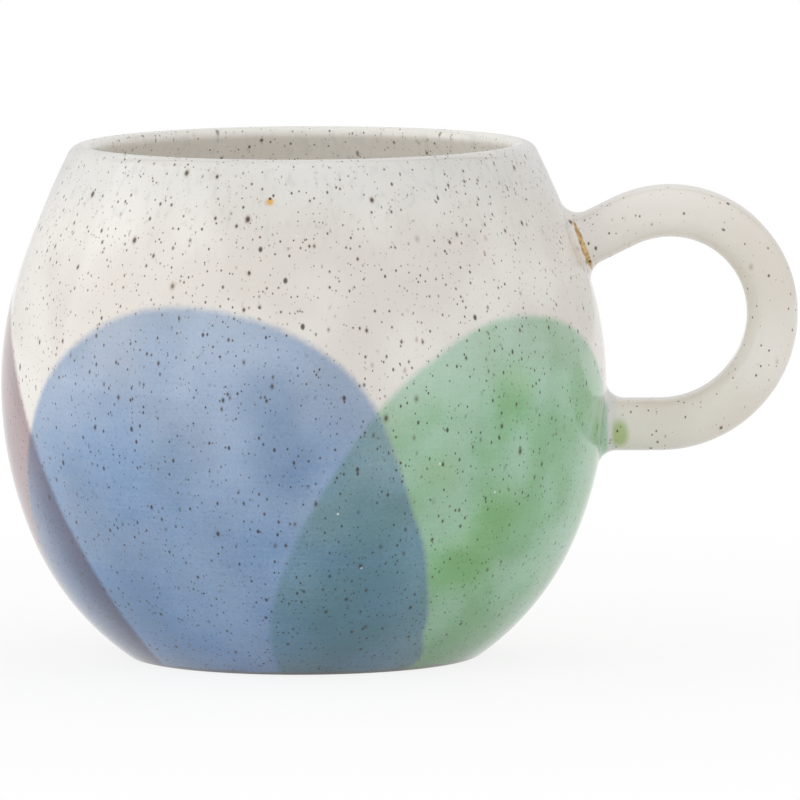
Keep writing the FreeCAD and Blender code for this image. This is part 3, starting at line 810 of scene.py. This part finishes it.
# %% [markdown]
# ## The glaze as a material
# A fired glaze is a skin of glass: a smooth, sharp gloss over a soft colour.
# One function makes the bowl's outside, its inside, the handle and the slip,
# which only differ in their runs, in whether a dip reaches them, and in a detail
# painted over them. The tone and the number of grains change slowly from the bowl
# to the handle across the roots, so no border shows there.

# %% Glazed stoneware
GRAIN_COLOUR = rgb(52, 44, 38)
BOWL_LIGHT, BOWL_DARK = rgb(237, 233, 227), rgb(225, 219, 211)
# The inside cream is painted paler than the outside cream: painted light that lifts the shaded inside of
# the cup.
INSIDE_PALE_WITH_PAINTED_LIGHT, INSIDE_DEEP_WITH_PAINTED_LIGHT = rgb(252, 248, 241), rgb(248, 243, 235)
INSIDE_GRAINS = 0.8
HANDLE_LIGHT, HANDLE_DARK = rgb(239, 234, 226), rgb(229, 222, 211)
HANDLE_FROM, HANDLE_GRAINS, DIP_ENDS = (46.5, 53.0), 0.4, (49.8, 50.5)


def open_material(name):
    material = bpy.data.materials.new(name)
    material.use_nodes = True
    tree = material.node_tree
    tree.nodes.clear()
    shader = put(tree, "ShaderNodeBsdfPrincipled")
    put(tree, "ShaderNodeOutputMaterial", {"Surface": shader.outputs[0]})
    place = put(tree, "ShaderNodeTexCoord").outputs["Object"]
    return material, tree, shader, place


def glazed(name, runs, dip=True, inside=False, extra=None):
    """A glossy speckled glaze. Extra paints a detail of this piece over it."""
    material, tree, shader, place = open_material(name)
    x = put(tree, "ShaderNodeSeparateXYZ", {0: place}).outputs[0]
    if inside:
        # the paler inside tones carry painted light
        light, dark, amount = INSIDE_PALE_WITH_PAINTED_LIGHT, INSIDE_DEEP_WITH_PAINTED_LIGHT, INSIDE_GRAINS
    else:
        on_handle = between(tree, x, HANDLE_FROM)
        light = blend(tree, on_handle, BOWL_LIGHT, HANDLE_LIGHT)
        dark = blend(tree, on_handle, BOWL_DARK, HANDLE_DARK)
        amount = maths(tree, "MULTIPLY_ADD", on_handle, HANDLE_GRAINS - 1.0, 1.0)
    base = place_group(tree, cream, {"Vector": place, "Light": light, "Dark": dark,
                                     "Grains": amount, "Runs": runs})
    colour = base["Colour"]
    if dip:
        coloured = place_group(tree, dipped, {"Vector": place, "Colour": colour})["Colour"]
        colour = blend(tree, between(tree, x, DIP_ENDS), coloured, colour)
    if extra:
        colour = extra(tree, place, colour)
    colour = blend(tree, maths(tree, "MULTIPLY", base["Grain"], 0.9), colour, GRAIN_COLOUR)
    tree.links.new(colour, shader.inputs["Base Color"])
    shader.inputs["Roughness"].default_value = 0.1
    shader.inputs["IOR"].default_value = 1.5
    wave = place_group(tree, waves, {"Vector": place})
    bump = put(tree, "ShaderNodeBump", {"Height": wave["Height"], "Strength": 0.5, "Distance": 1.0})
    tree.links.new(bump.outputs[0], shader.inputs["Normal"])
    return material


print("grain colour:", [round(level, 3) for level in GRAIN_COLOUR])


# %% [markdown]
# ## The foot and the amber spot
# Above the foot the glaze ends in a thin brown line, partly its real edge and
# partly painted shade where the mug meets the table. Below the rim one grain has
# melted into an amber drop, and a few gas bubbles have healed to pale pin
# specks. All are small masks over the bowl's glaze.

# %% Details of the bowl
AMBER, AMBER_GRAIN = (-5.0, -40.8, 78.5), (-4.95, -40.6, 79.0)
FOOT_BROWN_AND_SHADE, SPECK_PALE = rgb(120, 104, 88), rgb(232, 240, 236)
AMBER_GOLD, AMBER_CORE = rgb(226, 176, 92), rgb(74, 42, 18)
PIN_SPECKS = ((22.3, -44.1, 36.2), (9.5, -43.7, 19.3), (5.8, -47.6, 28.5), (31.2, -37.1, 30.8),
              (-0.6, -43.4, 73.2))


def bowl_details(tree, place, colour):
    height = put(tree, "ShaderNodeSeparateXYZ", {0: place}).outputs[2]
    ragged = put(tree, "ShaderNodeTexNoise", {"Vector": place, "Scale": 300.0}).outputs[0]
    edge = maths(tree, "MULTIPLY", ragged, 0.0007)
    # a thin brown line at the very bottom: partly the glaze's edge, partly painted shade where the mug
    # meets the table
    foot_edge_and_shade = ramp(tree, maths(tree, "SUBTRACT", height, edge), 0.0, 0.0005, 0.6, 0.0)
    colour = blend(tree, foot_edge_and_shade, colour, FOOT_BROWN_AND_SHADE)
    specks = 0.0
    for spot in PIN_SPECKS:
        specks = maths(tree, "MAXIMUM", specks, near_spot(tree, place, spot, 0.05, 0.32))
    colour = blend(tree, maths(tree, "MULTIPLY", specks, 0.8), colour, SPECK_PALE)
    colour = blend(tree, near_spot(tree, place, AMBER, 0.2, 0.95), colour, AMBER_GOLD)
    return blend(tree, near_spot(tree, place, AMBER_GRAIN, 0.12, 0.36), colour, AMBER_CORE)


def inside_runs(tree, place, colour):
    """Long brown runs below the rim on the inside."""
    height = put(tree, "ShaderNodeSeparateXYZ", {0: place}).outputs[2]
    near_rim = between(tree, height, (58.0, 72.0))
    runs = place_group(tree, grains, {"Vector": place, "Spacing": 1.7, "Size": 0.36, "Share": 0.75,
                                      "Stretch": 0.2, "Shift": 11.9})
    share = maths(tree, "MULTIPLY", maths(tree, "MULTIPLY", runs["Grain"], near_rim), 0.7)
    return blend(tree, share, colour, rgb(112, 100, 78))


outside_glaze = glazed("bowl_glaze", 1.0, extra=bowl_details)
inside_glaze = glazed("inside_glaze", 0.6, dip=False, inside=True, extra=inside_runs)
print(outside_glaze.name, inside_glaze.name)

# %% [markdown]
# ## Bare clay
# Under the foot the clay is left without glaze. It is dry, sandy and browner,
# with the same grains, so it shares their group but not the gloss.

# %% Bare clay of the foot
bare_clay, tree, shader, place = open_material("bare_clay")
sandy = place_group(tree, clouds, {"Vector": place, "Thin": rgb(198, 184, 162),
                                   "Thick": rgb(176, 158, 132), "Size": 5.0, "Streaks": 0.1})
dots = place_group(tree, grains, {"Vector": place, "Spacing": 1.0, "Size": 0.22, "Share": 0.6})
colour = blend(tree, maths(tree, "MULTIPLY", dots["Grain"], 0.85), sandy["Colour"], GRAIN_COLOUR)
tree.links.new(colour, shader.inputs["Base Color"])
shader.inputs["Roughness"].default_value = 0.82
grit = put(tree, "ShaderNodeTexNoise", {"Vector": place, "Scale": 2500.0, "Detail": 3.0}).outputs[0]
grit = put(tree, "ShaderNodeBump", {"Height": maths(tree, "MULTIPLY", grit, 0.0001), "Distance": 1.0})
tree.links.new(grit.outputs[0], shader.inputs["Normal"])
for material in (bare_clay, outside_glaze, inside_glaze):
    bowl.data.materials.append(material)
print("bowl finishes:", [material.name for material in bowl.data.materials])

# %% [markdown]
# ## Handle and slip
# The handle has few grains and no runs. At its upper root a line of bare slip
# shows as an ochre seam on both sides, and at its lower root the corner is painted
# greyer, with a green spot where the dip just reached it.

# %% Handle and collar glazes
SEAM_MIDDLE = (46.3, 67.6)
SEAM_FACING = (0.933, 0.359)
SEAM_HALF, SEAM_TAPER = 0.44, 0.0165
SEAM_DOT, SEAM_CORE = (0.1, 2.4, 0.0), rgb(70, 50, 32)
OCHRE_PALE, OCHRE_DEEP = rgb(222, 188, 120), rgb(176, 136, 72)
CORNER_GREY_TONE, SPOT_GREEN = rgb(210, 213, 215), rgb(172, 192, 120)
SPOT_PLACE, SPOT_SQUEEZE = (52.0, -5.2, 36.8), 1.6


def seam(tree, place, colour):
    """The ochre line along the cut end of the handle, wide in the middle of each side."""
    x, y, z = put(tree, "ShaderNodeSeparateXYZ", {0: place}).outputs
    x = maths(tree, "MULTIPLY_ADD", x, 1.0 / MM, -SEAM_MIDDLE[0])
    z = maths(tree, "MULTIPLY_ADD", z, 1.0 / MM, -SEAM_MIDDLE[1])
    across = maths(tree, "MULTIPLY_ADD", x, SEAM_FACING[0], maths(tree, "MULTIPLY", z, SEAM_FACING[1]))
    along = maths(tree, "MULTIPLY_ADD", x, SEAM_FACING[1], maths(tree, "MULTIPLY", z, -SEAM_FACING[0]))
    ragged = put(tree, "ShaderNodeTexNoise", {"Vector": place, "Scale": 1100.0, "Detail": 2.0}).outputs[0]
    reach = maths(tree, "MULTIPLY_ADD", maths(tree, "MULTIPLY", along, along), -SEAM_TAPER, SEAM_HALF)
    reach = maths(tree, "MULTIPLY_ADD", maths(tree, "SUBTRACT", ragged, 0.5), 0.35, reach)
    beyond = maths(tree, "SUBTRACT", maths(tree, "ABSOLUTE", across), reach)
    line = ramp(tree, beyond, -0.08, 0.08, 1.0, 0.0)
    line = maths(tree, "MULTIPLY", line, between(tree, maths(tree, "ABSOLUTE", y), (2.5, 3.5)))
    ochre = blend(tree, ramp(tree, ragged, 0.35, 0.65), OCHRE_PALE, OCHRE_DEEP)
    colour = blend(tree, maths(tree, "MULTIPLY", line, 0.92), colour, ochre)
    flat = put(tree, "ShaderNodeCombineXYZ", {0: across, 1: along}).outputs[0]
    dot = put(tree, "ShaderNodeVectorMath", {0: flat, 1: SEAM_DOT},
              operation="DISTANCE").outputs["Value"]
    return blend(tree, ramp(tree, dot, 0.12, 0.3, 1.0, 0.0), colour, SEAM_CORE)


def low_root(tree, place, colour):
    """A greyer corner and a green spot beside it."""
    x, y, z = put(tree, "ShaderNodeSeparateXYZ", {0: place}).outputs
    # the corner at the lower root is painted greyer
    corner_grey = between(tree, x, (49.3, 50.3))
    corner_grey = maths(tree, "MULTIPLY", corner_grey, between(tree, x, (50.9, 52.0), 1.0, 0.0))
    corner_grey = maths(tree, "MULTIPLY", corner_grey, between(tree, z, (46.5, 48.0), 1.0, 0.0))
    colour = blend(tree, maths(tree, "MULTIPLY", corner_grey, 0.45), colour, CORNER_GREY_TONE)
    squeezed = put(tree, "ShaderNodeVectorMath", {0: place, 1: (SPOT_SQUEEZE, 1.0, 1.0)},
                   operation="MULTIPLY").outputs[0]
    middle = (SPOT_SQUEEZE * SPOT_PLACE[0], *SPOT_PLACE[1:])
    green = near_spot(tree, squeezed, middle, 1.2, 3.4)
    green = maths(tree, "MULTIPLY", green, between(tree, x, (50.4, 51.3)))
    return blend(tree, maths(tree, "MULTIPLY", green, 0.85), colour, SPOT_GREEN)


def both_roots(tree, place, colour):
    return seam(tree, place, low_root(tree, place, colour))


handle_glaze = glazed("handle_glaze", 0.0, dip=False, extra=both_roots)
upper_glaze = glazed("upper_slip_glaze", 0.0, dip=False, extra=seam)
lower_glaze = glazed("lower_slip_glaze", 0.0, extra=low_root)
handle.data.materials.append(handle_glaze)
upper_collar.data.materials.append(upper_glaze)
lower_collar.data.materials.append(lower_glaze)
print("finishes:", len(bpy.data.materials))

# %% [markdown]
# ## The table
# The mug stands on a white sweep. For the camera and for mirrored rays it mostly
# shines by itself, and fully so away from the mug, where it has to be as white as
# the page. Close to the mug a small share is left plain, and that share takes the
# soft shadow.

# %% White table
table_size = 6.0
bpy.ops.mesh.primitive_plane_add(size=table_size, location=(0.0, 0.0, 0.0))
table = bpy.context.object
table.name = "white_table"
white, tree, shader, place = open_material("white_table")
shader.inputs["Base Color"].default_value = (0.9, 0.9, 0.9, 1.0)
shader.inputs["Roughness"].default_value = 0.9
shader.inputs["Specular IOR Level"].default_value = 0.0
glow = put(tree, "ShaderNodeEmission", {"Color": WHITE, "Strength": 1.0})
far = put(tree, "ShaderNodeVectorMath", {0: place}, operation="LENGTH").outputs["Value"]
share = ramp(tree, far, 0.05, 0.25, 0.85, 1.0)
path = put(tree, "ShaderNodeLightPath").outputs
share = maths(tree, "MULTIPLY", share, maths(tree, "MAXIMUM", path["Is Camera Ray"], path["Is Glossy Ray"]))
both = put(tree, "ShaderNodeMixShader", {0: share, 1: shader.outputs[0], 2: glow.outputs[0]})
output = next(made for made in tree.nodes if made.type == "OUTPUT_MATERIAL")
tree.links.new(both.outputs[0], output.inputs["Surface"])
table.data.materials.append(white)
print("table", table_size, "m wide")

# %% [markdown]
# ## The light
# Pale ceramics are photographed inside a tent of white cloth, with one larger
# soft light on the left. The world is that tent, an even pale grey, and one
# broad lamp stands to the left and in front. The gloss mirrors the tent too, so
# for mirrored rays it has a narrow dark slot overhead, which draws a thin grey
# line along the top of the handle, and a slightly dimmer back.

# %% World and lamp
TENT_LEVEL, BACK_DIMMING = 0.87, 0.25
world = bpy.data.worlds.new("white_tent")
world.use_nodes = True
bpy.context.scene.world = world
tree = world.node_tree
tree.nodes.clear()
toward = put(tree, "ShaderNodeTexCoord").outputs["Generated"]
north, top = put(tree, "ShaderNodeSeparateXYZ", {0: toward}).outputs[1:]
from_slot = maths(tree, "ABSOLUTE", maths(tree, "SUBTRACT", north, 0.5))
slot = ramp(tree, from_slot, 0.07, 0.13, 1.0, 0.0)
slot = maths(tree, "MULTIPLY", slot, ramp(tree, top, 0.3, 0.6))
path = put(tree, "ShaderNodeLightPath").outputs
behind = ramp(tree, north, -0.1, 0.4, 0.0, BACK_DIMMING)
dimmed = maths(tree, "MULTIPLY", maths(tree, "MAXIMUM", slot, behind), path["Is Glossy Ray"])
tent = put(tree, "ShaderNodeBackground", {"Color": WHITE, "Strength": TENT_LEVEL})
page_level = maths(tree, "SUBTRACT", 1.0, dimmed)
page = put(tree, "ShaderNodeBackground", {"Color": WHITE, "Strength": page_level})
straight = maths(tree, "MAXIMUM", path["Is Camera Ray"], path["Is Glossy Ray"])
straight = maths(tree, "MAXIMUM", straight, path["Is Transmission Ray"])
seen = put(tree, "ShaderNodeMixShader", {0: straight, 1: tent.outputs[0], 2: page.outputs[0]})
put(tree, "ShaderNodeOutputWorld", {"Surface": seen.outputs[0]})


def soft_lamp(name, place, size, power):
    lamp_data = bpy.data.lights.new(name, "AREA")
    lamp_data.shape = "RECTANGLE"
    lamp_data.size, lamp_data.size_y = size
    lamp_data.energy = power
    lamp = bpy.data.objects.new(name, lamp_data)
    bpy.context.scene.collection.objects.link(lamp)
    lamp.location = place
    aim = Vector((0.0, 0.0, 0.045)) - Vector(place)
    lamp.rotation_euler = aim.to_track_quat("-Z", "Y").to_euler()
    return lamp


soft_lamp("left_panel", (-1.15, -0.35, 0.45), (1.6, 1.1), 4.0)
bpy.context.scene.view_settings.view_transform = "Standard"
